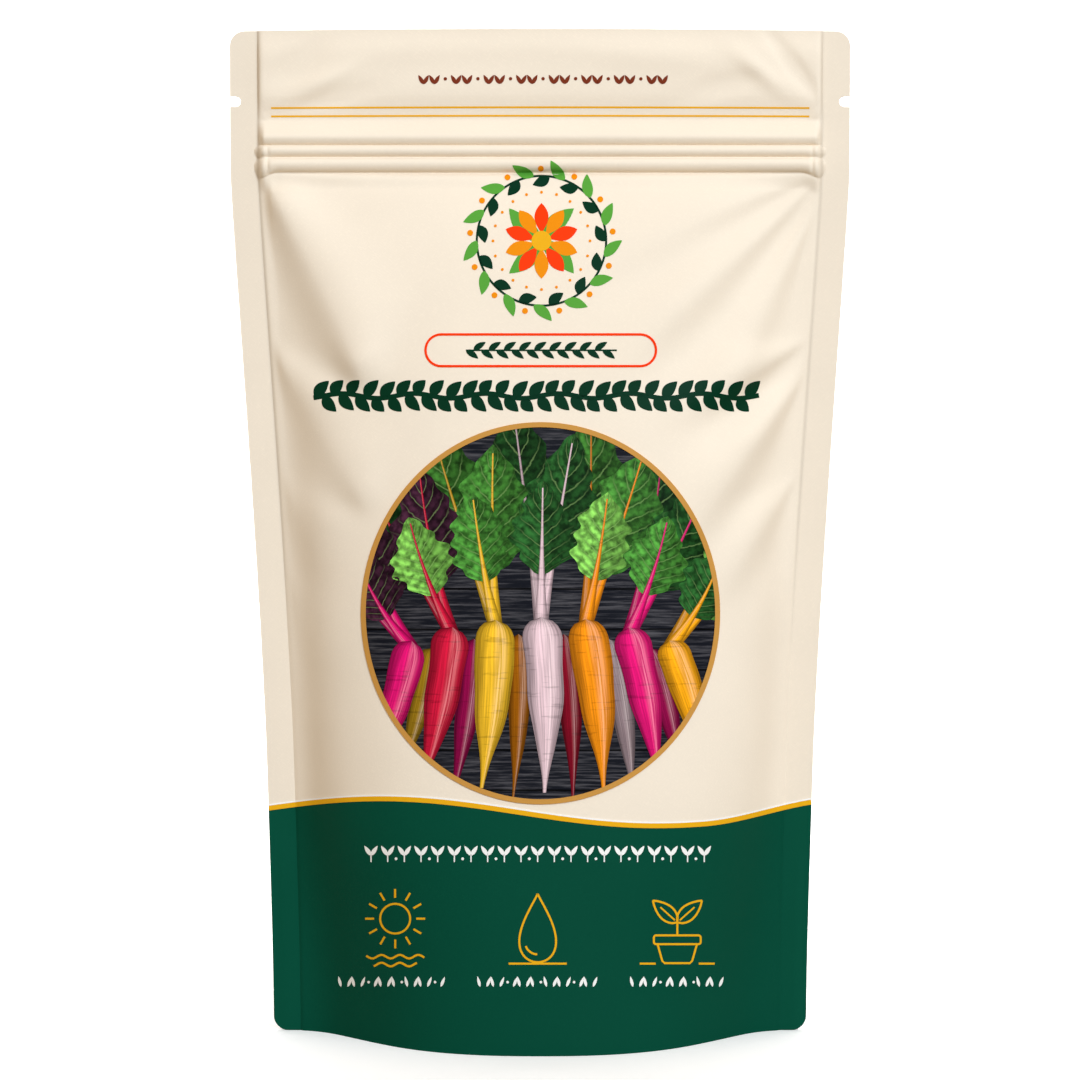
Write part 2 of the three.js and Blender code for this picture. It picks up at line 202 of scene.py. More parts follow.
# rolls of film over the zip's two tracks, and the room under the film from its tape downwards
zipRidges = [
    {"top": 188.1, "foot": 185.5, "height": 1.35, "curl": 0.3},
    {"top": 185.5, "foot": 182.4, "height": 1.6, "curl": 1.4},
]
zipRoom = {"depth": 1.2, "top": (193.8, 189.3), "foot": (-3.6, 0.1), "swell": 1.3}


def zipRelief(u, z):
    # the film rises over the tape, rounds off and turns under to the first track. With t the share of the
    # way down a track and s = t^0.85, its roll is (1 - (2s - 1)^2)^0.72 high. Near the seams its foot curls
    # down, it is pinched just inside them and ends past them in a round lump.
    a = np.abs(u)
    total = np.zeros_like(z)
    for ridge in zipRidges:
        foot = ridge["foot"] - ridge["curl"] * ease(seam - 4.5, seam + 0.3, a)
        t = np.clip((ridge["top"] - z) / (ridge["top"] - foot), 0, 1)
        roll = np.maximum(0, 1 - (2 * t ** 0.85 - 1) ** 2) ** 0.72
        lump = np.clip(1 - (np.maximum(0, a - seam + 1.2) / (0.5 + 1.5 * roll)) ** 2, 0, 1)
        lump *= 1 - 0.22 * np.exp(-((a - seam + 2.2) / 0.4) ** 2)
        total += ridge["height"] * roll * lump
    inSeam = ease(seam + 0.3, seam - 1.6, a)
    low = zipRidges[1]["foot"] - (zipRidges[1]["curl"] - 0.1) * ease(seam - 4.5, seam, a)
    turnUnder = np.clip((z - zipRidges[0]["top"]) / 2.4, 0, 1)
    swell = zipRoom["swell"] * (1 - (1 - turnUnder) ** 2.2) ** 0.7 * (z > zipRidges[0]["top"])
    room = zipRoom["depth"] * ease(low + zipRoom["foot"][0], low + zipRoom["foot"][1], z) + swell
    return total + room * inSeam * ease(*zipRoom["top"], z)


def inPrint(side, x, depth, z):
    # a film point as seen from the eye on its own side, on the plane y = 0
    t = eye["distance"] / (eye["distance"] - depth)
    return x * t, eye["height"] + (z - eye["height"]) * t


# half the weld's thickness, and what is added inside the seams: the step off the weld, the gusset's plies at
# the foot, and the header's two films, which part and lean forward
layers = {
    "weld": 0.235, "step": 0.435, "stepRun": 0.4, "topWeld": 5.0,
    "ply": 0.24, "plyTop": (9.0, -1.0), "plyRun": (10.0, 2.0), "plyRim": (64.4, 62.2),
    "headerFoot": 193.0, "pocket": 0.32, "pocketRise": 8.0, "pocketTop": (0.5, 7.0),
    "lean": 0.8, "leanRise": 6.0, "dentRise": 4.0,
}


def filmDepth(side, u, z):
    # distance of the outer face from the seal plane: film and plies, filled body, header, zip and folds
    a, top, ply, header = np.abs(u), pouch["height"], pouch["gussetFold"], layers["headerFoot"]
    inSeam = 1 - np.exp(-np.maximum(0, seam - a) / layers["stepRun"])
    body = bulge(z) * crown(u, z)
    body += bulge(z) * (fuller(u) - crown(u, z)) * boxy["share"] * ease(*boxy["foot"], z)
    plies = layers["ply"] * ease(ply + layers["plyTop"][0], ply + layers["plyTop"][1], z)
    plies *= ease(seam - layers["plyRun"][0], seam - layers["plyRun"][1], a) * ease(*layers["plyRim"], a)
    depth = layers["weld"] + layers["step"] * inSeam * ease(top, top - layers["topWeld"], z) + plies + body
    pocket = layers["pocket"] * inSeam * ease(header, header + layers["pocketRise"], z)
    depth += pocket * ease(top - layers["pocketTop"][0], top - layers["pocketTop"][1], z)
    depth += -side * layers["lean"] * inSeam * ease(header, header + layers["leanRise"], z)
    p, q = inPrint(side, across(u, z), depth, z)
    below = ease(pouch["bodyTop"] + 0.3, pouch["bodyTop"] - 4, z) * ease(seam, seam - 3, a)
    above = ease(header, header + layers["dentRise"], z) * ease(seam, seam - 2, a)
    folds, dents = (frontFolds, frontDents) if side < 0 else (backFolds, backDents)
    flats = sideFlat["dip"] * np.exp(-((a - sideFlat["at"]) / sideFlat["half"]) ** 2)
    flats *= ease(*sideFlat["foot"], z) * ease(*sideFlat["top"], z)
    turned = shoulder["rise"] * np.exp(-((a - shoulder["at"]) / shoulder["half"]) ** 2)
    turned *= ease(*shoulder["top"], z)
    relief = foldRelief(folds, p, q) * below - flats + turned + dentRelief(dents, p, q) * above
    # hollows fade out before they reach the other film
    floor = 0.6 * (body + above) + 0.01
    relief = np.where(relief < 0, -floor * np.tanh(-relief / floor), relief)
    return depth + relief + zipRelief(u, z)


def filmPoint(side, u, z, lift):
    # outer face moved out by lift. The back panel is the front one's frame turned half round.
    depth = filmDepth(side, u, z) + lift
    top = z - pouch["topArch"] * (u / pouch["halfWidth"]) ** 2 * ease(pouch["bodyTop"], pouch["height"], z)
    return joined(-side * across(u, z), side * depth, top)


def onFilm(side, p, q):
    # film coordinates u and z under a point of the print plane, by nine rounds of correction
    depth = np.zeros_like(p)
    u = p.copy()
    for _ in range(9):
        t = 1 - depth / eye["distance"]
        x, z = p * t, eye["height"] + (q - eye["height"]) * t
        u = u + (x - across(u, z))
        depth = filmDepth(side, u, z)
    return u, z


# mesh helpers
def gridFaces(rows, columns, start):
    # quads between neighbouring rows and columns of a grid, numbered row by row from start
    i, j = np.meshgrid(np.arange(rows - 1), np.arange(columns - 1), indexing="ij")
    a = start + i * columns + j
    return joined(a, a + 1, a + columns + 1, a + columns).reshape(-1, 4)


def edgeLoop(rows, columns, start):
    # the grid's outline as one run of numbers: along the first row, up, back and down
    i, j = np.arange(rows), np.arange(columns)
    first, last = start + j, start + (rows - 1) * columns + j
    left, right = start + i * columns, start + i * columns + columns - 1
    return np.concatenate([first[:-1], right[:-1], last[:0:-1], left[:0:-1]])


def closedSheet(outer, inner, start=0):
    # two grids of points, the inner one as fine or half as fine, joined by a rim of triangles
    (r, c), (ri, ci) = outer.shape[:2], inner.shape[:2]
    ratio = (c - 1) // (ci - 1)
    second = start + r * c
    fine, coarse = edgeLoop(r, c, start), edgeLoop(ri, ci, second)
    steps = fine.reshape(-1, ratio)
    ends = np.roll(fine, -1).reshape(-1, ratio)
    rim = [joined(ends[:, k], steps[:, k], coarse) for k in range(ratio)]
    rim.append(joined(coarse, np.roll(coarse, -1), ends[:, -1]))
    points = np.concatenate([outer.reshape(-1, 3), inner.reshape(-1, 3)])
    quads = np.concatenate([gridFaces(r, c, start), gridFaces(ri, ci, second)[:, ::-1]])
    return points, quads, np.concatenate(rim)


def inScene(name, data):
    # an object of that data, linked into the scene
    made = bpy.data.objects.new(name, data)
    bpy.context.scene.collection.objects.link(made)
    return made


def smoothMesh(name, points, faces):
    # a mesh shaded smooth
    mesh = bpy.data.meshes.new(name)
    mesh.from_pydata(points.tolist(), [], faces)
    mesh.polygons.foreach_set("use_smooth", np.ones(len(faces), dtype=bool))
    return mesh


creaseAngle = 35


def makePiece(name, points, quads, triangles, uv, material, tint=None):
    # a mesh object in metres from points in millimetres, with a UV pair and, where given, a colour for each
    mesh = smoothMesh(name, points * mm, quads.tolist() + [face.tolist() for face in triangles])
    mesh.set_sharp_from_angle(angle=math.radians(creaseAngle))
    corners = np.empty(len(mesh.loops), dtype=np.int32)
    mesh.loops.foreach_get("vertex_index", corners)
    layer = mesh.uv_layers.new(name="print")
    layer.data.foreach_set("uv", uv[corners].astype(np.float32).ravel())
    if tint is not None:
        colour = mesh.color_attributes.new(name="ink", type="FLOAT_COLOR", domain="POINT")
        rgba = np.pad(tint, ((0, 0), (0, 1)), constant_values=1)
        colour.data.foreach_set("color", rgba.astype(np.float32).ravel())
    mesh.materials.append(material)
    mesh.update()
    piece = inScene(name, mesh)
    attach(piece, "root")
    return piece


# materials
print("materials")

inks = {  # linear colours
    "cream": (0.885, 0.775, 0.637), "green": (0.0018, 0.067, 0.038),
    "gold": (0.84, 0.42, 0.011), "amber": (0.86, 0.27, 0.004), "tan": (0.58, 0.285, 0.062),
    "deepGreen": (0.0018, 0.033, 0.014), "freshGreen": (0.10, 0.36, 0.045), "red": (0.93, 0.045, 0.003),
    "rust": (0.20, 0.035, 0.014), "white": (0.93, 0.92, 0.89),
}
inkRough = {"gold": 0.42, "film": 0.47, "rest": 0.46}
grainRelief = {"depth": 0.000022, "strength": 0.6}
matt = 0.03  # specular level


class Nodes:
    # short forms for adding and joining shader nodes
    def __init__(self, tree):
        self.tree = tree

    def add(self, kind, **settings):
        # a new node with its settings
        node = self.tree.nodes.new(kind)
        for key, value in settings.items():
            setattr(node, key, value)
        return node

    def join(self, value, socket):
        # a socket is linked, and anything else becomes the socket's own value
        if isinstance(value, bpy.types.NodeSocket):
            self.tree.links.new(value, socket)
        elif value is not None:
            socket.default_value = value

    def math(self, operation, a, b=None, c=None):
        # one operation on up to three values
        node = self.add("ShaderNodeMath", operation=operation)
        for value, socket in zip((a, b, c), node.inputs):
            self.join(value, socket)
        return node.outputs[0]

    def plus(self, a, b):
        # the sum
        return self.math("ADD", a, b)

    def minus(self, a, b):
        # a less b
        return self.math("SUBTRACT", a, b)

    def times(self, a, b):
        # the product
        return self.math("MULTIPLY", a, b)

    def apart(self, a, b):
        # how far a is from b, without its sign
        return self.math("ABSOLUTE", self.minus(a, b))

    def between(self, value, low, high, outLow=0.0, outHigh=1.0):
        # outLow up to low, outHigh from high on, a smooth step between them
        node = self.add("ShaderNodeMapRange", interpolation_type="SMOOTHSTEP")
        for source, socket in zip((value, low, high, outLow, outHigh), node.inputs):
            self.join(source, socket)
        return node.outputs[0]

    def mix(self, factor, a, b):
        # the colour that share of the way from a to b
        node = self.add("ShaderNodeMix", data_type="RGBA")
        self.join(factor, node.inputs[0])
        for value, socket in ((a, node.inputs[6]), (b, node.inputs[7])):
            self.join((*value, 1) if isinstance(value, tuple) else value, socket)
        return node.outputs[2]

    def noise(self, vector, scale, detail=2.0, rough=0.5):
        # smooth noise about 0.5
        node = self.add("ShaderNodeTexNoise")
        self.join(vector, node.inputs["Vector"])
        self.join(scale, node.inputs["Scale"])
        node.inputs["Detail"].default_value = detail
        node.inputs["Roughness"].default_value = rough
        return node.outputs["Fac"]

    def stretched(self, vector, turn, stretch):
        # turned first and stretched after, so that the grain lies along the turned axes
        node = self.add("ShaderNodeMapping", vector_type="TEXTURE")
        self.join(vector, node.inputs["Vector"])
        node.inputs["Rotation"].default_value = [math.radians(a) for a in turn]
        node.inputs["Scale"].default_value = stretch
        return node.outputs[0]

    def place(self):
        # the object's own coordinates
        return self.add("ShaderNodeTexCoord").outputs["Object"]

    def uv(self):
        # the piece's UV map
        return self.add("ShaderNodeUVMap", uv_map="print").outputs[0]

    def ink(self):
        # the piece's own colours
        return self.add("ShaderNodeAttribute", attribute_name="ink").outputs["Color"]

    def parts(self, value, kind="ShaderNodeSeparateXYZ"):
        # a vector's X, Y and Z
        node = self.add(kind)
        self.join(value, node.inputs[0])
        return node.outputs

    def primaries(self, colour):
        # a colour's red, green and blue
        return self.parts(colour, "ShaderNodeSeparateColor")


def filmGrainGroup():
    # paper-like lay of the matt film: two sets of short slanting fibres, a fine tooth and a slow mottle.
    # Tone is near 1, Height runs 0 to 1 and Gloss is added to the roughness.
    tree = bpy.data.node_groups.new("filmGrain", "ShaderNodeTree")
    tree.interface.new_socket("Amount", in_out="INPUT", socket_type="NodeSocketFloat")
    for output in ("Tone", "Height", "Gloss"):
        tree.interface.new_socket(output, in_out="OUTPUT", socket_type="NodeSocketFloat")
    n = Nodes(tree)
    amount = n.add("NodeGroupInput").outputs["Amount"]
    place = n.place()
    first = n.noise(n.stretched(place, (0, 36, 0), (6, 1, 1)), 4200.0, 1.0)
    second = n.noise(n.stretched(place, (0, -48, 0), (5, 1, 1)), 3600.0, 1.0)
    tooth = n.noise(place, 2600.0, 1.0)
    mottle = n.noise(place, 55.0, 3.0)
    hairs = n.plus(n.between(first, 0.5, 0.74), n.between(second, 0.52, 0.74))
    height = n.plus(n.times(hairs, 0.42), n.times(tooth, 0.16))
    shade = n.minus(n.times(n.minus(mottle, 0.5), 0.07), n.times(hairs, -0.02))
    result = n.add("NodeGroupOutput")
    n.join(n.plus(1.0, n.times(shade, amount)), result.inputs["Tone"])
    n.join(height, result.inputs["Height"])
    n.join(n.times(n.minus(mottle, 0.5), 0.12), result.inputs["Gloss"])
    return tree


grainGroup = filmGrainGroup()


def newMaterial(name):
    # a material, the short forms for its nodes and its shader
    material = bpy.data.materials.new(name)
    material.use_nodes = True
    return material, Nodes(material.node_tree), material.node_tree.nodes["Principled BSDF"]


def toned(n, colour, tone):
    # a colour times a number near 1
    node = n.add("ShaderNodeVectorMath", operation="SCALE")
    n.join(colour, node.inputs[0])
    n.join(tone, node.inputs["Scale"])
    return node.outputs[0]


def raised(n, shader, height, depth, strength=1.0):
    # shades the surface as if it stood out by height times depth, in metres
    bump = n.add("ShaderNodeBump")
    bump.inputs["Strength"].default_value = strength
    bump.inputs["Distance"].default_value = depth
    n.join(height, bump.inputs["Height"])
    n.join(bump.outputs["Normal"], shader.inputs["Normal"])


def filmFinish(n, shader, colour, rough, grain=1.0):
    # matt printed film: the colour under the grain, with the grain's relief
    group = n.add("ShaderNodeGroup", node_tree=grainGroup)
    group.inputs["Amount"].default_value = grain
    n.join(toned(n, colour, group.outputs["Tone"]), shader.inputs["Base Color"])
    n.join(n.plus(group.outputs["Gloss"], rough), shader.inputs["Roughness"])
    raised(n, shader, group.outputs["Height"], **grainRelief)
    shader.inputs["Specular IOR Level"].default_value = matt


wave = {"height": 46.9, "swing": 2.9, "crest": -34.0, "length": 118.0, "rise": 1.7, "from": 35.0, "to": 58.0}


def waveLine(p):
    # a cosine across the foot that lifts a little more towards the right seam
    turn = 2 * np.pi * (p - wave["crest"]) / wave["length"]
    return wave["height"] + wave["swing"] * np.cos(turn) + wave["rise"] * ease(wave["from"], wave["to"], p)


def printedFilm():
    # cream film with a green foot under the wave, laid out on the print plane that the UV map holds
    material, n, shader = newMaterial("printedFilm")
    p, q = (n.times(share, uvUnit) for share in n.parts(n.uv())[:2])
    turn = n.times(n.minus(p, wave["crest"]), 2 * math.pi / wave["length"])
    line = n.math("MULTIPLY_ADD", n.math("COSINE", turn), wave["swing"], wave["height"])
    line = n.plus(line, n.between(p, wave["from"], wave["to"], 0.0, wave["rise"]))
    above = n.between(n.minus(q, line), -0.1, 0.1)
    # painted light and shade on the welded margin: paler on the green and a little darker on the cream, and a
    # painted crease shadow along its first line
    weld, creaseShadow, _ = n.primaries(n.ink())
    paintedMarginTone = n.between(weld, 0.0, 1.0, 1.0, n.between(above, 0.0, 1.0, 1.10, 0.975))
    tone = n.times(paintedMarginTone, n.between(creaseShadow, 0.0, 1.0, 1.0, 0.84))
    filmFinish(n, shader, toned(n, n.mix(above, inks["green"], inks["cream"]), tone), inkRough["film"])
    return material


def inkMaterial(name, colour, rough):
    # matt ink of one colour, which takes on most of the film's grain
    material, n, shader = newMaterial(name)
    filmFinish(n, shader, colour, rough, grain=0.8)
    return material


filmMaterial = printedFilm()
greenMaterial = inkMaterial("greenFilm", inks["green"], inkRough["film"])

# panels
print("panels")

panelGrid = {
    "middleStep": 1.0, "sideStep": 0.65, "edgeStep": 0.25, "rimStep": 0.5,
    "footRows": 54, "bodyRows": 128, "zipRows": 110, "turnRows": 8, "fixedTo": 60.0,
}


def panelColumns():
    # close together at the seams, where the film creases
    half = np.concatenate([
        np.arange(0, 28, panelGrid["middleStep"]), np.arange(28, 53.9, panelGrid["sideStep"]),
        np.arange(54, 62, panelGrid["edgeStep"]),
        np.arange(62, 65.01, panelGrid["rimStep"]),
    ])
    return np.concatenate([-half[:0:-1], half])


def panelRows():
    # close together at the zip, the tear notch and the round corners
    r, h = pouch["cornerRadius"], pouch["height"]
    low, high = (pouch["notchHeight"] + k * pouch["notchWidth"] / 2 for k in (-1, 1))
    turn = r * (1 - np.cos(np.linspace(0, np.pi / 2, panelGrid["turnRows"] + 1)))
    slot = pouch["notchHeight"] - pouch["notchWidth"] / 2 * np.cos(np.linspace(0, np.pi, 11))
    rows = np.concatenate([
        turn, np.linspace(r, 80, panelGrid["footRows"] + 1)[1:],
        np.linspace(80, 176, panelGrid["bodyRows"] + 1)[1:],
        np.linspace(176, 195.6, panelGrid["zipRows"] + 1)[1:], np.linspace(195.6, low - 0.01, 4)[1:],
        slot, np.linspace(high + 0.01, h - r, 14), (h - turn)[-2::-1],
    ])
    # the inner face takes every second row, so their number is odd
    return rows if len(rows) % 2 else np.insert(rows, 40, (rows[39] + rows[40]) / 2)


def edgeOf(z):
    # the film's half-width by height: round corners at top and foot, and a round-ended slot on each side
    r, h = pouch["cornerRadius"], pouch["height"]
    toEnd = np.minimum(z, h - z)
    inset = np.where(toEnd < r, r - np.sqrt(np.maximum(0, r * r - (r - toEnd) ** 2)), 0)
    notch = pouch["notchWidth"] / 2
    dz = np.abs(z - pouch["notchHeight"])
    slot = pouch["notchDepth"] - notch + np.sqrt(np.maximum(0, notch * notch - dz * dz))
    return pouch["halfWidth"] - np.where(dz <= notch + 1e-6, slot, inset)


def panel(name, side):
    # outer and inner face of one film. Columns past fixedTo are drawn in to the film's edge.
    u, z = np.meshgrid(panelColumns(), panelRows())
    fixed = panelGrid["fixedTo"]
    past = np.maximum(0, np.abs(u) - fixed) / (pouch["halfWidth"] - fixed)
    u = np.sign(u) * (np.minimum(np.abs(u), fixed) + past * (edgeOf(z) - fixed))
    outer = filmPoint(side, u, z, 0)
    inner = filmPoint(side, u, z, -pouch["film"])[::2, ::2]
    points, quads, triangles = closedSheet(outer, inner)
    p, q = inPrint(side, -side * points[:, 0], side * points[:, 1], points[:, 2])
    uv = joined(-side * p, q) / uvUnit
    # red marks the welded margin, and green its first line, where the painted crease shadow lies, which fades
    # away towards the foot
    a = np.abs(np.concatenate([u.ravel(), u[::2, ::2].ravel()]))
    line = np.exp(-((a - seam + 0.1) / 0.4) ** 2) * ease(62, 125, points[:, 2])
    weld = joined(ease(seam - 0.2, seam + 0.3, a), line, a * 0)
    return makePiece(name, points, quads, triangles, uv, filmMaterial, tint=weld)


frontPanel = panel("frontPanel", -1)
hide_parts("front_panel")
backPanel = panel("backPanel", 1)
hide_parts("back_panel")

# gusset
print("gusset")


gussetSheet = {"gap": 0.06, "thick": 0.2, "rim": 1.25}


def gussetCurve(u, turn, inset):
    # across the foot: up the skirt on each panel, then an elliptic arch between them. turn runs from -rim at
    # the front to rim at the back, and its middle part from -1 to 1 is the arch. Its ridge rises
    # from gussetArch at mid-width to gussetFold at the seams, with a fine fold line and slight wrinkles.
    depth = np.minimum(filmDepth(-1, u, turn * 0), filmDepth(1, u, turn * 0))
    reach = depth - pouch["film"] - gussetSheet["gap"] - inset
    rise = pouch["gussetFold"] - pouch["gussetArch"]
    ridge = pouch["gussetArch"] + rise * np.clip(np.abs(u) / seam, 0, 1) ** 2.2
    angle = np.clip(turn, -1, 1) * np.pi / 2
    y = reach * np.sin(angle)
    z = pouch["gussetSkirt"] + (ridge - inset - pouch["gussetSkirt"]) * np.cos(angle)
    z = z + 0.7 * np.exp(-np.abs(y) / 1.3) * ease(seam, seam - 12, np.abs(u))
    wrinkle = 0.22 * np.sin(u * 0.55 + 2.1 * np.sin(y * 0.11)) * ease(20, 48, np.abs(u)) * np.cos(angle)
    skirt = (np.abs(turn) - 1) / (gussetSheet["rim"] - 1)
    z = np.where(np.abs(turn) > 1, pouch["gussetSkirt"] * (1 - skirt), z + wrinkle)
    return joined(across(u, z), y, z)


def gusset():
    # a sheet along the curve, between the panels' seams
    columns = panelColumns()
    columns = columns[np.abs(columns) < pouch["halfWidth"] - pouch["cornerRadius"] + 0.1]
    skirt = np.linspace(1, gussetSheet["rim"], 5)[1:]
    turns = np.concatenate([-skirt[::-1], np.linspace(-1, 1, 49), skirt])
    u, turn = np.meshgrid(columns, turns)
    upper, lower = (gussetCurve(u, turn, inset)[::-1, ::-1] for inset in (0, gussetSheet["thick"]))
    points, quads, triangles = closedSheet(upper, lower)
    uv = joined(points[:, 0], points[:, 1] + points[:, 2]) / uvUnit
    return makePiece("bottomGusset", points, quads, triangles, uv, greenMaterial)


bottomGusset = gusset()
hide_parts("bottom_gusset")

# inside
print("zip and seed")


def zipMaterial():
    # clear, slightly milky extruded plastic with die lines along it
    material, n, shader = newMaterial("zipPlastic")
    lines = n.noise(n.stretched(n.place(), (0, 0, 0), (50, 1, 1)), 3000.0)
    n.join(n.mix(lines, (0.78, 0.81, 0.79), (0.86, 0.88, 0.85)), shader.inputs["Base Color"])
    n.join(n.between(lines, 0.3, 0.7, 0.28, 0.38), shader.inputs["Roughness"])
    return material


def seedMaterial():
    # corky, faceted seed: a cell for each seed, with painted shade in the gaps between them, and of its own
    # brown
    material, n, shader = newMaterial("seedCoat")
    cell = n.add("ShaderNodeTexVoronoi")
    n.join(n.place(), cell.inputs["Vector"])
    cell.inputs["Scale"].default_value = 260.0
    # gap carries painted shade where the seeds meet, and the bump below sinks the same gaps
    gap = n.between(cell.outputs["Distance"], 0.2, 0.62)
    brown = n.mix(n.primaries(cell.outputs["Color"])[0], (0.20, 0.105, 0.035), (0.42, 0.27, 0.12))
    n.join(n.mix(gap, brown, (0.03, 0.016, 0.006)), shader.inputs["Base Color"])
    shader.inputs["Roughness"].default_value = 0.85
    raised(n, shader, n.minus(1.0, gap), 0.0008)
    return material


def dressNode(node, material):
    # a solid that stays as the CAD made it and gets its material
    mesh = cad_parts[node].data
    mesh.materials.clear()
    mesh.materials.append(material)


# both tapes: heights, inner face, thickness, gap to the film, half-length and the heights of their tracks.
# Above bend they close in on the film.
zipTape = {"low": 182.7, "high": 192.4, "bend": 188.2, "inner": 1.05, "thick": 0.3, "gap": 0.05,
           "reach": 56.2, "tracks": (186.8, 183.9)}
# outlines round each track's middle, from the tape's inner face: a stem with an arrow head, and two arms
# with lips behind that head
ribTrack = [(-1.05, 0.22), (-0.1, 0.22), (-0.1, 0.58), (0.5, 0.2), (0.5, -0.2), (-0.1, -0.58), (-0.1, -0.22),
            (-1.05, -0.22)]
grooveTrack = [(1.05, 1.1), (-0.5, 1.1), (-0.5, 0.38), (-0.25, 0.38), (-0.25, 0.74), (1.05, 0.74),
               (1.05, -0.74), (-0.25, -0.74), (-0.25, -0.38), (-0.5, -0.38), (-0.5, -1.1), (1.05, -1.1)]


def zipStrip(name, side, track, node):
    # one outline run along X: up the film's inner face, down the tape's own inner face and round each track
    z = np.linspace(zipTape["low"], zipTape["high"], 40)
    film = filmDepth(side, z * 0, z) - pouch["film"] - zipTape["gap"]
    outline = list(zip(side * film, z))
    upper = np.linspace(zipTape["high"], zipTape["bend"], 12)
    inside = filmDepth(side, upper * 0, upper) - pouch["film"] - zipTape["gap"] - zipTape["thick"]
    outline += list(zip(side * np.minimum(inside, zipTape["inner"]), upper))
    for middle in zipTape["tracks"]:
        outline += [(y, middle + rise) for y, rise in track]
    outline.append((side * zipTape["inner"], zipTape["low"]))
    outline = np.array(outline)[::-side]
    x = np.linspace(-zipTape["reach"], zipTape["reach"], 29)
    count = len(outline)
    points = np.concatenate([np.column_stack([np.full(count, at), outline]) for at in x])
    i, j = np.meshgrid(np.arange(len(x) - 1) * count, np.arange(count), indexing="ij")
    following = (j + 1) % count
    quads = joined(i + j, i + following, i + following + count, i + j + count).reshape(-1, 4)
    ends = [np.arange(count)[::-1], np.arange(count) + len(points) - count]
    strip = makePiece(name, points, quads, ends, points[:, [0, 2]] / uvUnit, zipPlastic)
    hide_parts(node)


zipPlastic = zipMaterial()
zipStrip("zipRibStrip", -1, ribTrack, "zip_rib_strip")
zipStrip("zipGrooveStrip", 1, grooveTrack, "zip_groove_strip")
dressNode("seed_fill", seedMaterial())

# print
print("print")


def stroke(points, width):
    # a line as wide as width says: each point of the path and one half a width to either side
    path = np.asarray(points, dtype=float)
    ahead = np.gradient(path, axis=0)
    ahead /= np.linalg.norm(ahead, axis=1, keepdims=True)
    half = np.broadcast_to(width, len(path))[:, None] / 2
    off = joined(-ahead[:, 1], ahead[:, 0]) * half
    return np.stack([path + off, path, path - off])


def spot(middle, rx, ry=None, count=7):
    # a square grid drawn out to an ellipse, so that it has no pole
    a, b = np.meshgrid(np.linspace(-1, 1, count), np.linspace(1, -1, count))
    x, y = a * np.sqrt(1 - b * b / 2), b * np.sqrt(1 - a * a / 2)
    return joined(middle[0] + rx * x, middle[1] + (ry or rx) * y)


def blade(base, angle, along, off):
    # a patch from distances along and to the left of a line from base at an angle in degrees
    turn = math.radians(angle)
    x = base[0] + along * math.cos(turn) - off * math.sin(turn)
    y = base[1] + along * math.sin(turn) + off * math.cos(turn)
    return joined(x, y)


def leaf(base, angle, length, width, bow=0.0, fullness=0.8, steps=11, columns=3):
    # half-width follows a sine of s to the fullness, on a midrib that bows to one side
    s = np.linspace(0, 1, steps)[None, :]
    t = np.linspace(1, -1, columns)[:, None]
    half = width / 2 * np.sin(np.pi * s ** fullness) ** 0.85 + 0.02
    return blade(base, angle, s * length + t * 0, t * half + bow * 4 * s * (1 - s))


def arc(middle, rx, ry, start, stop, count=48):
    # points of an ellipse's outline between two angles in degrees
    turn = np.radians(np.linspace(start, stop, count))
    return joined(middle[0] + rx * np.cos(turn), middle[1] + ry * np.sin(turn))


def onRing(middle, r, at):
    # the point of a circle at an angle in degrees
    return arc(middle, r, r, at, at, 1)[0]


def straight(a, b, step=1.5):
    # evenly spaced points from a to b
    count = max(2, int(math.hypot(b[0] - a[0], b[1] - a[1]) / step) + 1)
    return np.linspace(a, b, count)


def bar(a, b, width, step=1.5):
    # a straight stroke from a to b
    return stroke(straight(a, b, step), width)


def roundedBox(left, low, right, high, r):
    # outline of a box with round corners, from the middle of its foot all the way round
    middle = (left + right) / 2
    middles = ((right - r, low + r), (right - r, high - r), (left + r, high - r), (left + r, low + r))
    corners = [arc(at, r, r, 90 * k - 90, 90 * k, 9) for k, at in enumerate(middles)]
    path = [straight((middle, low), (right - r, low))[:-1], corners[0],
            straight((right, low + r), (right, high - r))[1:-1], corners[1],
            straight((right - r, high), (left + r, high))[1:-1], corners[2],
            straight((left, high - r), (left, low + r))[1:-1], corners[3],
            straight((left + r, low), (middle, low))[1:]]
    return np.concatenate(path)


def inkOnFilm(name, patches, material, side=-1, lift=0.08, tints=None):
    # every patch is a grid of print-plane points. It becomes a thin closed slab that follows the film. With
    # tints its UV map runs from 0 to 1 along and across the patch, and every patch has its own colour.
    flat = np.concatenate([patch.reshape(-1, 2) for patch in patches])
    u, z = onFilm(side, flat[:, 0], flat[:, 1])
    top, bottom = filmPoint(side, u, z, lift), filmPoint(side, u, z, -0.05)
    points, quads, triangles, uv, tint, at, start = [], [], [], [], [], 0, 0
    for index, patch in enumerate(patches):
        rows, columns = patch.shape[:2]
        count = rows * columns
        a, b = (grid[at:at + count].reshape(rows, columns, 3)[::-1] for grid in (top, bottom))
        made = closedSheet(a, b, start)
        points.append(made[0])
        quads.append(made[1])
        triangles.append(made[2])
        own = flat[at:at + count].reshape(rows, columns, 2)[::-1] / uvUnit
        if tints is not None:
            own = np.stack(np.meshgrid(np.linspace(0, 1, columns), np.linspace(0, 1, rows)), axis=-1)
            tint.append(np.tile(np.array(tints[index], dtype=float), (2 * count, 1)))
        uv.extend([own.reshape(-1, 2)] * 2)
        at, start = at + count, start + 2 * count
    points, quads, triangles, uv = (np.concatenate(parts) for parts in (points, quads, triangles, uv))
    makePiece(name, points, quads, triangles, uv, material,
              tint=np.concatenate(tint) if tint else None)


# gold rules of the header, and the wave with its pale edge
rules = {"from": -56.4, "to": 56.5, "heights": (196.02, 194.25), "width": 0.36}
waveGold = {"width": 1.05, "pale": 0.34, "paleOffset": 0.68}
footEdge = float(across(np.array([pouch["halfWidth"]]), np.array([49.0]))[0]) - 0.12


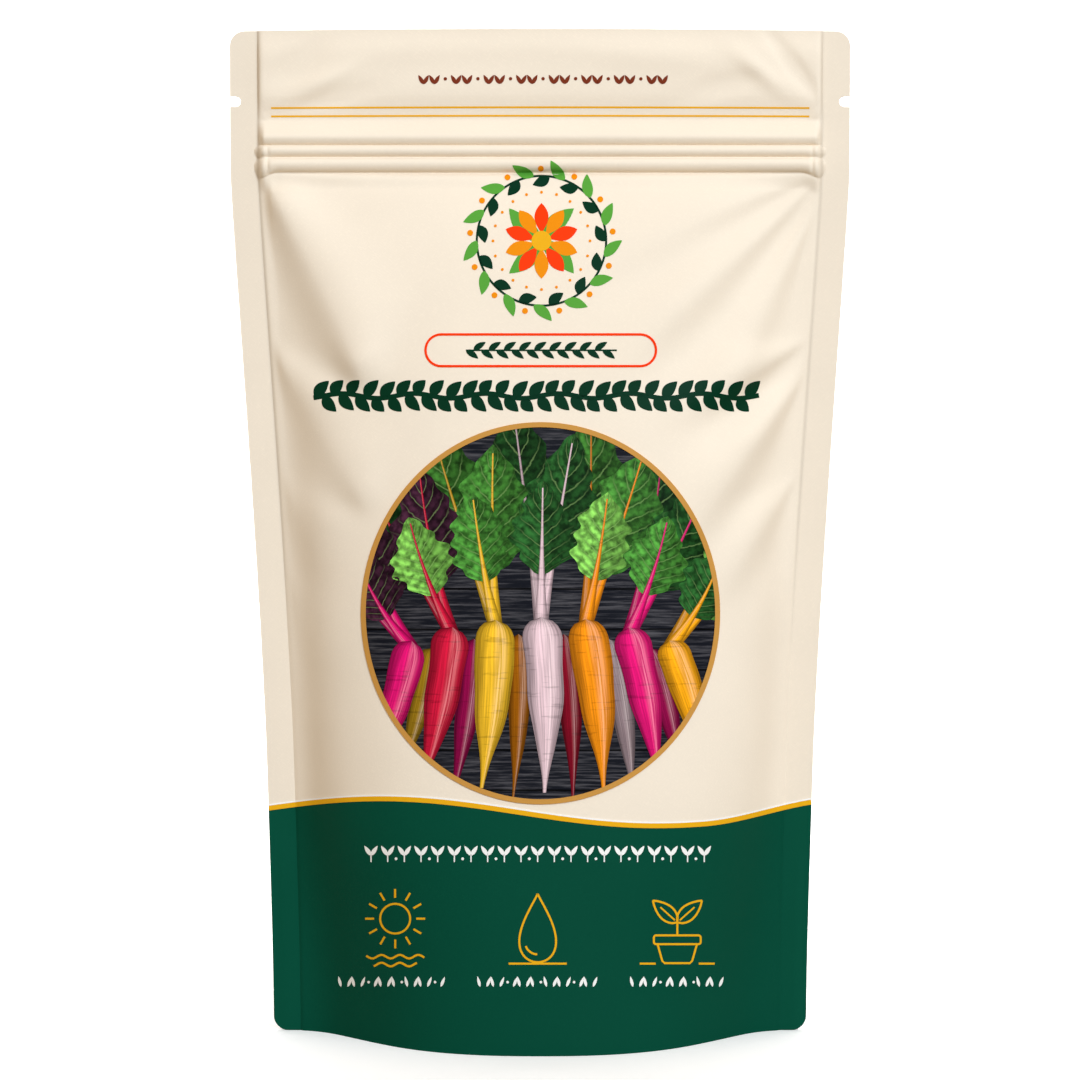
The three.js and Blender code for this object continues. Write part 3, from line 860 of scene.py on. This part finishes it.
def waveStrip(offset, width, side=-1):
    # a band along the wave that ends a hair inside the film's edge. The back's wave is the front's in a
    # mirror, so that the two meet at the seams.
    p = np.linspace(-footEdge, footEdge, 240)
    return stroke(joined(p, waveLine(-side * p) + offset), width)


def ruleStrips():
    # thin lines across the header at their heights
    return [bar((rules["from"], h), (rules["to"], h), rules["width"]) for h in rules["heights"]]


headerRow = {"from": -24.4, "to": 25.7, "foot": 200.9, "count": 23, "leaf": (2.15, 0.8), "lean": 30,
             "dot": 0.36}


def sprigs(row):
    # pairs of leaves that open upwards, with a dot at every third place
    length, width = row["leaf"]
    patches = []
    for index, p in enumerate(np.linspace(row["from"], row["to"], row["count"])):
        if index % 3 == 2:
            patches.append(spot((p, row["foot"] + length / 2), row["dot"]))
        else:
            for lean in (-row["lean"], row["lean"]):
                patches.append(leaf((p, row["foot"]), 90 + lean, length, width))
    return patches


wreath = {
    "middle": (0.32, 168.1), "radius": 13.6, "stem": 0.45, "leaves": 26, "leaf": (5.0, 2.2), "open": 34,
    "berries": 13, "berry": 0.62, "petals": 10, "petal": (6.3, 2.9), "hub": 1.6, "dots": 20, "dotRing": 10.2,
}


def wreathLeaves():
    # leaves set by turns outside and inside a ring stem, in two groups by colour
    groups = ([], [])
    length, width = wreath["leaf"]
    for index in range(wreath["leaves"]):
        at = 360 * index / wreath["leaves"]
        base = onRing(wreath["middle"], wreath["radius"], at)
        turned = -wreath["open"] if index % 2 else wreath["open"]
        share = 0.78 if index % 2 == 0 else 1.0
        groups[index % 2].append(leaf(base, at + 90 + turned, length * share, width, 0.25, 0.8, 25, 9))
    return groups


def rosette():
    # petals round a hub in two colours, four leaves behind them and a ring of dots
    middle = wreath["middle"]
    length, width = wreath["petal"]
    petals = [[], []]
    for index in range(wreath["petals"]):
        at = 90 + 360 * index / wreath["petals"]
        petals[index % 2].append(leaf(onRing(middle, wreath["hub"], at), at, length, width, 0.0, 1.15, 13, 5))
    behind = [leaf(middle, at, 9.6, 3.8, 0.5, 0.9, 13, 5) for at in (45, 135, 225, 315)]
    dots = [spot(onRing(middle, wreath["dotRing"], at), 0.3, count=5)
            for at in np.arange(wreath["dots"]) * 360 / wreath["dots"]]
    return petals, behind, dots


pill = {"left": -24.13, "right": 24.46, "low": 141.77, "high": 148.45, "line": 0.5, "chain": (-15.6, 16.2),
        "leaf": (3.1, 1.25), "step": 3.2}


def pillChain():
    # a thin stem with leaves by turns above and below
    middle = (pill["low"] + pill["high"]) / 2
    start, stop = pill["chain"]
    length, width = pill["leaf"]
    patches = [bar((start, middle), (stop, middle), 0.34)]
    for index, p in enumerate(np.arange(start, stop - 2, pill["step"] / 2)):
        patches.append(leaf((p, middle), 34 if index % 2 else -34, length, width, 0.1))
    return patches


vine = {"from": -47.8, "to": 46.2, "middle": 135.5, "swing": 0.5, "length": 15.2, "stem": 1.0, "step": 3.5,
        "leaf": (4.6, 2.45), "open": 50, "halfRow": 3.3}


def titleVine():
    # a stem along a sine with broad leaves above and, half a step on, below, all within half the row's height
    p = np.linspace(vine["from"], vine["to"], 200)
    stem = vine["swing"] * np.sin(2 * np.pi * p / vine["length"])
    patches = [stroke(joined(p, vine["middle"] + stem), vine["stem"])]
    length, width = vine["leaf"]
    for index, at in enumerate(np.arange(vine["from"] + 0.3, vine["to"] - 2.0, vine["step"] / 2)):
        y = vine["swing"] * math.sin(2 * math.pi * at / vine["length"])
        side = -1 if index % 2 else 1
        reach = (vine["halfRow"] - side * y) / math.sin(math.radians(vine["open"]))
        patches.append(leaf((at, vine["middle"] + y), side * vine["open"], min(length, reach), width,
                            side * 0.25, 0.8, 17, 7))
    return patches


# the foot's white rows and gold line pictures
slogan = {"from": -36.0, "to": 38.2, "middle": 38.1, "step": 3.55, "leaf": (2.5, 0.85)}
captions = {"spans": ((-42.8, -19.3), (-13.1, 13.1), (19.55, 39.2)), "foot": 9.3, "step": 1.42,
            "leaf": (2.3, 0.6)}
icons = {"line": 0.43, "sun": (-30.9, 24.0), "drop": (-0.5, 21.6), "pot": (29.3, 21.6)}


def sloganRow():
    # a leaf pair on a short stalk and a dot, by turns
    length, width = slogan["leaf"]
    patches = []
    for index, p in enumerate(np.arange(slogan["from"], slogan["to"], slogan["step"])):
        y = slogan["middle"]
        patches.append(bar((p, y - 1.9), (p, y - 0.2), 0.26, 0.6))
        for lean in (-34, 34):
            patches.append(leaf((p, y - 0.5), 90 + lean, length, width))
        if index % 2:
            patches.append(spot((p + slogan["step"] / 2, y - 1.2), 0.3, count=5))
    return patches


def captionRows():
    # short slanting leaves like a row of grass, with a dot at every fifth place
    length, width = captions["leaf"]
    patches = []
    for start, stop in captions["spans"]:
        for index, p in enumerate(np.arange(start, stop - 0.9, captions["step"])):
            if index % 5 == 4:
                patches.append(spot((p + 0.5, captions["foot"] + 1.0), 0.28, count=5))
            else:
                lean = 68 if index % 2 else 104
                patches.append(leaf((p + 0.3, captions["foot"]), lean, length, width, steps=7))
    return patches


def sunLines(line):
    # a ring with twelve rays, over two furrows along a sine
    middle = icons["sun"]
    patches = [stroke(arc(middle, 3.2, 3.2, 0, 360, 49), line)]
    for at in np.arange(0, 360, 30):
        patches.append(stroke(np.linspace(onRing(middle, 4.5, at), onRing(middle, 6.4, at), 3), line))
    for drop, half in ((8.2, 6.2), (9.9, 4.6)):
        p = np.linspace(-half, half, 25)
        furrow = joined(middle[0] + p, middle[1] - drop + 0.4 * np.sin(p * 1.6))
        patches.append(stroke(furrow, line))
    return patches


def dropLines(line):
    # a drop as wide as sin(turn) times sin(turn / 2)^1.3, with a gleam in it and the ground under it
    cx, cy = icons["drop"]
    turn = np.linspace(0, 2 * np.pi, 73)[1:-1]
    width = 5.4 * np.sin(turn) * np.sin(turn / 2) ** 1.3
    drop = joined(cx + width, cy + 0.4 + 7.4 * np.cos(turn))
    gleam = arc((cx, cy - 2.6), 2.7, 2.7, 200, 268, 13)
    return [stroke(drop, line), stroke(gleam, line), bar((cx - 6.2, cy - 7.3), (cx + 6.2, cy - 7.3), line)]


def potLines(line):
    # a rimmed pot on the ground, with a stem and two leaves
    cx, cy = icons["pot"]
    rim, lip, foot = cy - 1.2, cy - 3.1, cy - 7.2
    wall = np.concatenate([
        straight((cx - 4.2, lip), (cx - 3.2, foot + 0.5)), straight((cx - 2.7, foot), (cx + 2.7, foot)),
        straight((cx + 3.2, foot + 0.5), (cx + 4.2, lip)),
    ])
    collar = roundedBox(cx - 5.0, lip, cx + 5.0, rim, 0.5)
    patches = [stroke(collar, line), stroke(wall, line), bar((cx, rim), (cx, cy + 3.2), line)]
    for side in (-1, 1):
        outline = leaf((cx, cy + 1.6), 90 - side * 48, 7.0, 3.2)
        patches.append(stroke(np.concatenate([outline[0], outline[-1, ::-1]]), line))
        patches.append(stroke(outline[1, 1:8], line * 0.8))
    ground = foot - 0.1
    for left, right in ((cx - 8.0, cx - 4.6), (cx + 4.6, cx + 8.0)):
        patches.append(bar((left, ground), (right, ground), line))
    return patches


def iconLines():
    # the three line pictures side by side
    return sunLines(icons["line"]) + dropLines(icons["line"]) + potLines(icons["line"])


# picture in the oval window: roots of bright colours with their leaves, on dark boards
oval = {"middle": np.array([0.1, 89.3]), "rx": 37.6, "ry": 40.2, "ring": (37.55, 40.13), "line": 1.07}
rootColours = {
    "magenta": (0.76, 0.008, 0.17), "yellow": (0.88, 0.50, 0.025), "crimson": (0.62, 0.010, 0.045),
    "orange": (0.91, 0.28, 0.006), "pearl": (0.78, 0.56, 0.60), "amber": (0.92, 0.38, 0.008),
}
# crown, lean from straight down, length, width, colour
roots = [
    ((-27.2, 83.5), -17, 29.0, 7.4, "magenta"), ((-18.6, 86.5), -11, 34.0, 8.2, "crimson"),
    ((-9.4, 88.0), -5, 36.0, 8.8, "yellow"), ((0.2, 88.6), 1, 37.5, 8.6, "pearl"),
    ((9.6, 88.2), 6, 36.5, 9.0, "orange"), ((18.8, 86.4), 11, 33.0, 8.0, "magenta"),
    ((27.4, 83.6), 17, 28.0, 7.6, "amber"),
]
rootsBehind = [
    ((-23.0, 82.0), -14, 27.0, 5.4, "yellow"), ((-14.0, 84.0), -8, 35.0, 5.6, "magenta"),
    ((-4.6, 85.0), -2, 35.0, 5.2, "orange"), ((5.0, 85.0), 3, 36.0, 5.2, "crimson"),
    ((14.4, 84.0), 9, 34.0, 5.6, "pearl"), ((23.2, 82.0), 14, 28.0, 5.4, "magenta"),
]
leafColours = {
    "dark": (0.012, 0.060, 0.012), "mid": (0.040, 0.155, 0.022), "light": (0.12, 0.30, 0.05),
    "wine": (0.035, 0.010, 0.022),
}
# leaves of each layer, one for every root: turn from the fan's line, length with the stalk, width, share
# of the length where the blade starts, dimming, and the blade colours from left to right
leafLayers = [
    {"turn": 9, "length": 47.0, "width": 16.0, "start": 0.30, "dim": 0.62,
     "blades": ("wine", "dark", "mid", "dark", "mid", "dark", "mid")},
    {"turn": -8, "length": 41.0, "width": 15.0, "start": 0.30, "dim": 0.95,
     "blades": ("wine", "wine", "mid", "dark", "mid", "dark", "light")},
    {"turn": 1, "length": 30.5, "width": 12.0, "start": 0.34, "dim": 1.15,
     "blades": ("wine", "light", "mid", "dark", "light", "mid", "dark")},
]


def inOval(points):
    # points beyond the oval are drawn in to its edge, where the ring covers them
    off = points - oval["middle"]
    far = np.hypot(off[..., 0] / oval["rx"], off[..., 1] / oval["ry"])
    near = np.where(far > 1, 1 + 0.003 * (far - 1), far)
    return oval["middle"] + off * (near / np.maximum(far, 1e-9))[..., None]


def rootShape(crown, lean, length, width):
    # round at the crown and tapered to a thin tail, with s the share of the way down it and a slight wave in
    # its half-width
    s = np.linspace(0, 1, 25)[None, :] ** 1.2
    t = np.linspace(1, -1, 7)[:, None]
    shoulder = np.sqrt(1 - (1 - np.clip(s / 0.13, 0, 1)) ** 2)
    half = width / 2 * shoulder * (1 - 0.30 * s - 0.62 * ease(0.45, 1.0, s))
    half = half * (1 + 0.03 * np.sin(17 * s + crown[0])) + 0.03
    return blade(crown, lean - 90, s * length + t * 0, t * half + 0.02 * length * np.sin(3 * s))


def rootPatches(rows, dim):
    # a patch and a colour for each root, with the colours times dim
    return ([inOval(rootShape(crown, lean, length, width)) for crown, lean, length, width, _ in rows],
            [tuple(c * dim for c in rootColours[colour]) for *_, colour in rows])


def leafPatches(layer):
    # a fan of broad leaves with wavy edges, and their stalks, which run on as midribs
    blades, ribs, tints, ribTints = [], [], [], []
    t = np.linspace(1, -1, 9)[:, None]
    for index, ((x, y), lean, _, _, colour) in enumerate(roots):
        angle = 90 - 1.75 * lean + layer["turn"]
        length = layer["length"] * (1 - 0.054 * abs(index - 3) ** 1.3)
        bow = -0.4 * (index - 3)
        s = np.linspace(layer["start"], 1, 37)[None, :]
        k = (s - layer["start"]) / (1 - layer["start"])
        half = layer["width"] / 2 * np.sin(np.pi * k ** 0.8) ** 0.8 + 0.02
        ruffle = np.sin(31 * k + 2.4 * t + x) + 0.8 * np.sin(11 * k + 3 * t - x)
        off = t * half * (1 + 0.12 * np.abs(t) ** 3 * ruffle) + bow * 4 * s * (1 - s)
        blades.append(inOval(blade((x, y - 1.5), angle, s * length + t * 0, off)))
        tints.append(tuple(c * layer["dim"] for c in leafColours[layer["blades"][index]]))
        s = np.linspace(0, 0.95, 22)
        ribs.append(inOval(stroke(blade((x, y - 1.5), angle, s * length, bow * 4 * s * (1 - s)),
                                  0.35 + 2.7 * (1 - s) ** 2.4)))
        ribTints.append(tuple(c * min(1, layer["dim"]) for c in rootColours[colour]))
    return blades, tints, ribs, ribTints


def leafInkMaterial():
    # blade colour with raised blisters, pale side veins that slant forward, and one half in shade. s and t
    # are shares along and across the leaf.
    material, n, shader = newMaterial("leafInk")
    s, t, _ = n.parts(n.uv())
    colour, place = n.ink(), n.place()
    fromRib = n.math("ABSOLUTE", n.math("MULTIPLY_ADD", t, 2.0, -1.0))
    phase = n.minus(n.times(s, 8.0), n.times(fromRib, 1.9))
    crinkle = n.noise(place, 700.0, 2.0)
    phase = n.plus(phase, n.times(crinkle, 0.35))
    toVein = n.apart(n.math("FRACT", phase), 0.5)
    vein = n.times(n.between(toVein, 0.015, 0.085, 1.0, 0.0), n.between(fromRib, 0.25, 1.0, 1.0, 0.15))
    tone = n.times(n.between(crinkle, 0.3, 0.7, 0.45, 1.65), n.between(t, 0.42, 0.58, 0.72, 1.3))
    tone = n.times(tone, n.between(toVein, 0.0, 0.5, 0.75, 1.3))
    pale = n.mix(0.35, colour, (0.30, 0.46, 0.16))
    filmFinish(n, shader, n.mix(vein, toned(n, colour, tone), pale), 0.45, grain=0.6)
    return material


def rootInkMaterial():
    # skin with a soft gleam left of the middle, darker edges, streaks along it and thin creases across
    material, n, shader = newMaterial("rootInk")
    s, t, _ = n.parts(n.uv())
    colour, uv, place = n.ink(), n.uv(), n.place()
    streak = n.noise(n.stretched(uv, (0, 0, 0), (0.5, 0.055, 1)), 1.0, 3.0)
    crease = n.noise(n.stretched(place, (0, 0, 0), (0.006, 0.006, 0.0007)), 1.0, 2.0)
    edge = n.between(n.apart(t, 0.52), 0.12, 0.5, 1.12, 0.42)
    tone = n.times(edge, n.between(streak, 0.3, 0.7, 0.66, 1.22))
    tone = n.times(tone, n.between(crease, 0.58, 0.68, 1.0, 0.72))
    tone = n.times(tone, n.between(s, 0.0, 0.10, 0.5, 1.0))
    fromGleam = n.apart(t, 0.66)
    gleam = n.times(n.between(fromGleam, 0.0, 0.22, 0.24, 0.0), n.between(streak, 0.35, 0.62))
    filmFinish(n, shader, n.mix(gleam, toned(n, colour, tone), (0.98, 0.86, 0.82)), 0.45, grain=0.5)
    return material


boardWidth = 8.6


def boardMaterial():
    # dark weathered boards across the picture, with long grain and a dark gap in the middle of each row
    material, n, shader = newMaterial("boardInk")
    uv = n.uv()
    row = n.times(n.parts(uv)["Y"], uvUnit / boardWidth)
    gap = n.between(n.apart(n.math("FRACT", row), 0.5), 0.46, 0.49, 1.0, 0.12)
    grain = n.noise(n.stretched(uv, (0, 0, 0), (0.05, 0.0025, 1)), 1.0, 4.0, 0.6)
    colour = n.mix(n.between(grain, 0.42, 0.72), (0.008, 0.009, 0.014), (0.085, 0.082, 0.092))
    filmFinish(n, shader, toned(n, colour, gap), 0.45, grain=0.5)
    return material


inkOf = {name: inkMaterial(name + "Ink", inks[name], inkRough.get(name, inkRough["rest"]))
         for name in ("gold", "white", "deepGreen", "red", "amber", "tan", "freshGreen", "rust")}


def ornaments():
    # name, patches, ink and lift of each print outside the picture, from the film outwards
    outer, inner = wreathLeaves()
    petals, behind, dots = rosette()
    middle, ring = wreath["middle"], wreath["radius"]
    stem = stroke(arc(middle, ring, ring, 0, 360, 361), wreath["stem"])
    berries = [spot(onRing(middle, ring + 1.5, at), wreath["berry"])
               for at in (np.arange(wreath["berries"]) + 0.27) * 360 / wreath["berries"]]
    pillLine = stroke(roundedBox(pill["left"], pill["low"], pill["right"], pill["high"], 3.3), pill["line"])
    paleWave = waveStrip(waveGold["paleOffset"], waveGold["pale"])
    return (
        ("frontGold", ruleStrips() + [waveStrip(0.0, waveGold["width"])] + iconLines(), "gold", 0.08),
        ("frontWhite", [paleWave] + sloganRow() + captionRows(), "white", 0.08),
        ("frontRust", sprigs(headerRow), "rust", 0.08),
        ("frontDeepGreen", [stem] + outer + pillChain() + titleVine(), "deepGreen", 0.08),
        ("frontFreshGreen", inner + behind, "freshGreen", 0.09),
        ("frontRed", [pillLine] + petals[0], "red", 0.11),
        ("frontAmber", petals[1] + dots + berries, "amber", 0.11),
        ("frontHub", [spot(middle, wreath["hub"] + 0.5, count=9)], "gold", 0.13),
    )


pictureLift = {"boards": 0.05, "behind": 0.075, "leaves": 0.10, "layer": 0.05, "rib": 0.025, "ring": 0.03}


def picture():
    # boards, the roots behind, three layers of leaves with their ribs, the roots in front and the ring
    leafPicture, rootPicture = leafInkMaterial(), rootInkMaterial()
    boards = spot(oval["middle"], oval["rx"], oval["ry"], count=41)
    inkOnFilm("pictureBoards", [boards], boardMaterial(), lift=pictureLift["boards"])
    patches, tints = rootPatches(rootsBehind, 0.34)
    inkOnFilm("pictureRootsBack", patches, rootPicture, lift=pictureLift["behind"], tints=tints)
    lift = pictureLift["leaves"]
    for name, layer in zip(("Back", "Middle", "Front"), leafLayers):
        blades, tints, ribs, ribTints = leafPatches(layer)
        inkOnFilm("pictureLeaves" + name, blades, leafPicture, lift=lift, tints=tints)
        inkOnFilm("pictureRibs" + name, ribs, rootPicture, lift=lift + pictureLift["rib"], tints=ribTints)
        lift += pictureLift["layer"]
    patches, tints = rootPatches(roots, 1.0)
    inkOnFilm("pictureRootsFront", patches, rootPicture, lift=lift, tints=tints)
    ring = stroke(arc(oval["middle"], *oval["ring"], 0, 360, 181), oval["line"])
    inkOnFilm("pictureRing", [ring], inkOf["tan"], lift=lift + pictureLift["ring"])


for name, patches, colour, lift in ornaments():
    inkOnFilm(name, patches, inkOf[colour], lift=lift)
picture()

# back print: rules, the wave, and a ruled panel under a pair of leaves
backPanelBox = {"left": -40.0, "right": 40.0, "low": 66.0, "high": 146.0, "radius": 4.0, "line": 0.5,
                "lines": 11}


def backArt():
    # gold rules and wave, and in deep green the panel's outline and its lines with the leaf pair over them
    box = backPanelBox
    inkOnFilm("backGold", ruleStrips() + [waveStrip(0.0, waveGold["width"], 1)], inkOf["gold"], side=1)
    inkOnFilm("backWhite", [waveStrip(waveGold["paleOffset"], waveGold["pale"], 1)], inkOf["white"], side=1)
    outline = roundedBox(box["left"], box["low"], box["right"], box["high"], box["radius"])
    lines = [bar((box["left"] + 7, q), (box["right"] - 7, q), 0.24)
             for q in np.linspace(box["low"] + 8, box["high"] - 8, box["lines"])]
    pair = [leaf((0.0, 154.0), 90 + lean, 11.0, 4.6, 0.4, 0.8, 15, 5) for lean in (-38, 38)]
    frameAndStalk = [stroke(outline, box["line"]), bar((0, 150.5), (0, 156), 0.6)]
    inkOnFilm("backDeepGreen", frameAndStalk + lines + pair, inkOf["deepGreen"], side=1)


backArt()

# stage
print("stage")

studio = {
    "floorDepth": 2.2, "wallHeight": 2.6, "halfWidth": 3.2, "bend": 0.7, "front": -1.6,
    "roomColour": (1.0, 0.83, 0.64), "roomStrength": 0.635,
    "floorColour": (0.94, 0.94, 0.94), "floorGlow": 0.22, "bounceColour": (0.34, 0.30, 0.24),
    "floorFinish": {"Emission Color": (0.97, 0.99, 1, 1), "Roughness": 0.9, "Specular IOR Level": 0.1},
    "key": {"at": (1.0, -2.57, 1.57), "size": 0.62, "power": 66.5, "colour": (0.84, 1.0, 1.17)},
    "wall": {"at": (0.0, 0.5, 1.3), "to": (0.0, 2.2, 0.4), "size": 1.6, "power": 60.0,
             "colour": (0.97, 1.0, 1.05)},
}
# the camera, fitted to the photo's perspective
view = {"distance": 0.750, "rise": 4.24, "aimHeight": 0.105, "focalPixels": 3543.5, "imagePixels": 1080,
        "sensor": 36}


def sweep():
    # a floor that bends up into a back wall
    r, depth = studio["bend"], studio["floorDepth"]
    turn = np.linspace(0, np.pi / 2, 25)
    y = np.concatenate([[studio["front"]], depth - r + r * np.sin(turn), [depth]])
    z = np.concatenate([[0], r - r * np.cos(turn), [studio["wallHeight"]]])
    x = np.linspace(-studio["halfWidth"], studio["halfWidth"], 9)
    points = joined(*np.meshgrid(x, y), np.meshgrid(x, z)[1]).reshape(-1, 3)
    mesh = smoothMesh("sweep", points, gridFaces(len(y), len(x), 0).tolist())
    # the sweep is pale to the eye and throws back less light, as a floor further from the pouch would
    material, n, shader = newMaterial("paleSweep")
    seen = n.add("ShaderNodeLightPath").outputs["Is Camera Ray"]
    n.join(n.mix(seen, studio["bounceColour"], studio["floorColour"]), shader.inputs["Base Color"])
    n.join(n.times(seen, studio["floorGlow"]), shader.inputs["Emission Strength"])
    for socket, value in studio["floorFinish"].items():
        shader.inputs[socket].default_value = value
    mesh.materials.append(material)
    piece = inScene("sweep", mesh)


def softbox(name, light):
    # a round area light aimed at the middle of the pouch, or where its row says
    data = bpy.data.lights.new(name, "AREA")
    data.shape, data.size, data.energy, data.color = "DISK", light["size"], light["power"], light["colour"]
    aim(inScene(name, data), light["at"], light.get("to", (0, 0, view["aimHeight"])))


def aim(thing, at, target):
    # local -Z along the line from at to target, local Y up
    thing.location = at
    thing.rotation_euler = (Vector(target) - Vector(at)).to_track_quat("-Z", "Y").to_euler()


sweep()
softbox("keyLight", studio["key"])
softbox("wallLight", studio["wall"])

scene = bpy.context.scene
world = bpy.data.worlds.new("paleRoom")
world.use_nodes = True
world.node_tree.nodes["Background"].inputs["Color"].default_value = (*studio["roomColour"], 1)
world.node_tree.nodes["Background"].inputs["Strength"].default_value = studio["roomStrength"]
scene.world = world
scene.view_settings.view_transform = "Standard"

lens = bpy.data.cameras.new("camera")
lens.sensor_width = view["sensor"]
lens.lens = view["sensor"] * view["focalPixels"] / view["imagePixels"]
camera = inScene("camera", lens)
rise = math.radians(view["rise"])
aim(camera, (0, -view["distance"] * math.cos(rise), view["aimHeight"] + view["distance"] * math.sin(rise)),
    (0, 0, view["aimHeight"]))
scene.camera = camera
